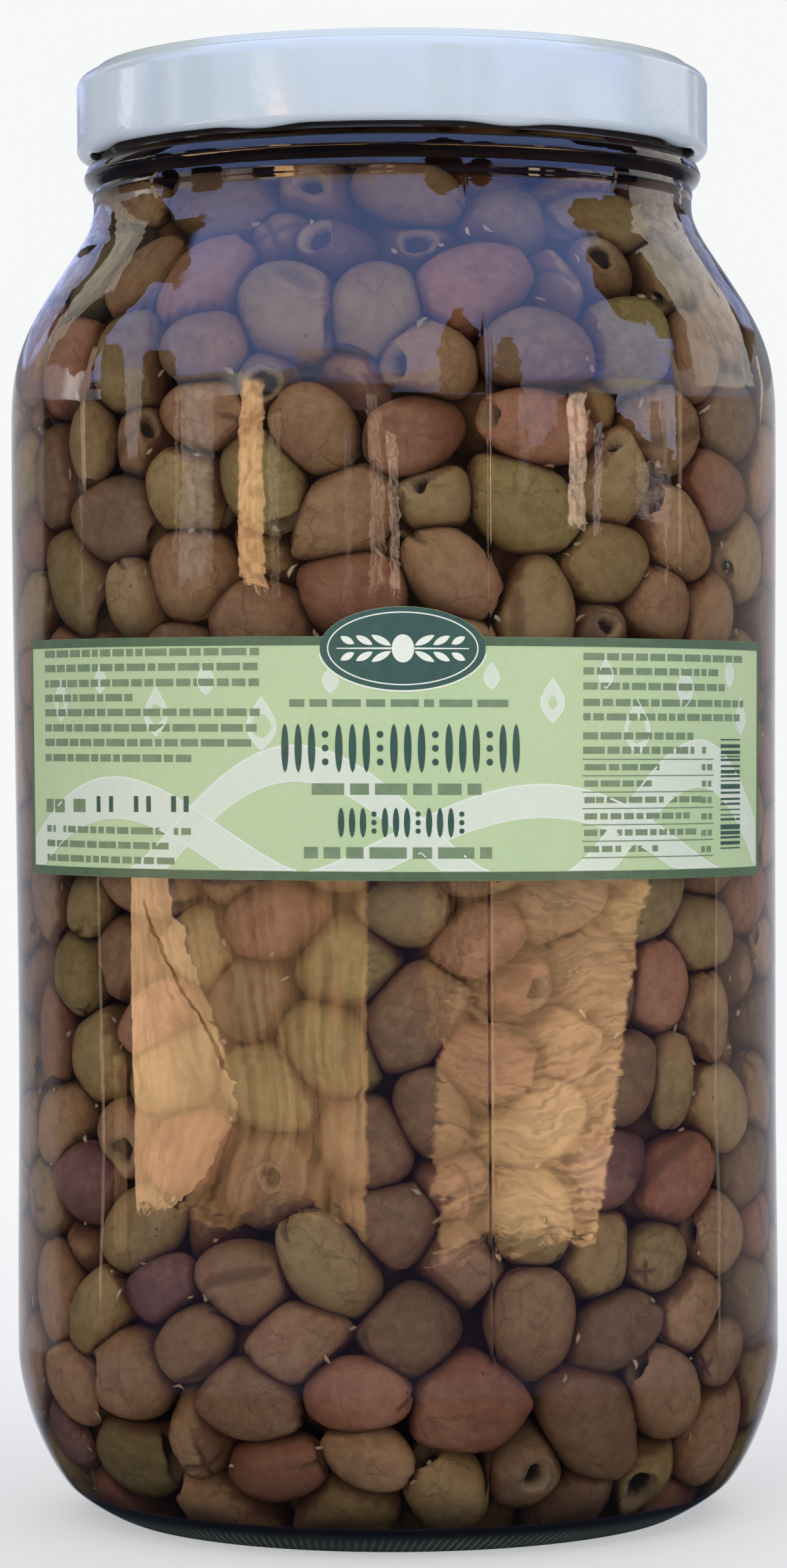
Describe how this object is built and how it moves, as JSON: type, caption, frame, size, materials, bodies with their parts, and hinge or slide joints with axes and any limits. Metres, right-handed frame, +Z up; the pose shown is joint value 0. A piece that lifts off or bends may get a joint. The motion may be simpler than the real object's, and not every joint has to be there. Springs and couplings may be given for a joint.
{
  "type": "jar of olives",
  "caption": "Large clear glass catering jar packed with pitted olives in oil, shut with a white metal twist-off lid, with a pale green wrap-round front label.",
  "frame": {"origin": "centre of the jar's base, on the plane that it stands on", "axes": "+Z up along the jar's axis; the label's middle faces -Y and +X is to its right"},
  "size_m": [0.1376, 0.1383, 0.2598],
  "materials": {
    "jar_glass": "clear, glossy, faint green tint",
    "olives_in_oil": "olive brown, tan, rose and mauve fruit in golden oil",
    "lid_enamel": "white gloss enamel on tinplate",
    "label_paper": "coated paper, pale green print with dark green bands"
  },
  "bodies": {
    "root": {"jar": "jar_glass", "contents": "olives_in_oil", "lid": "lid_enamel", "label": "label_paper"}
  },
  "joints": []
}
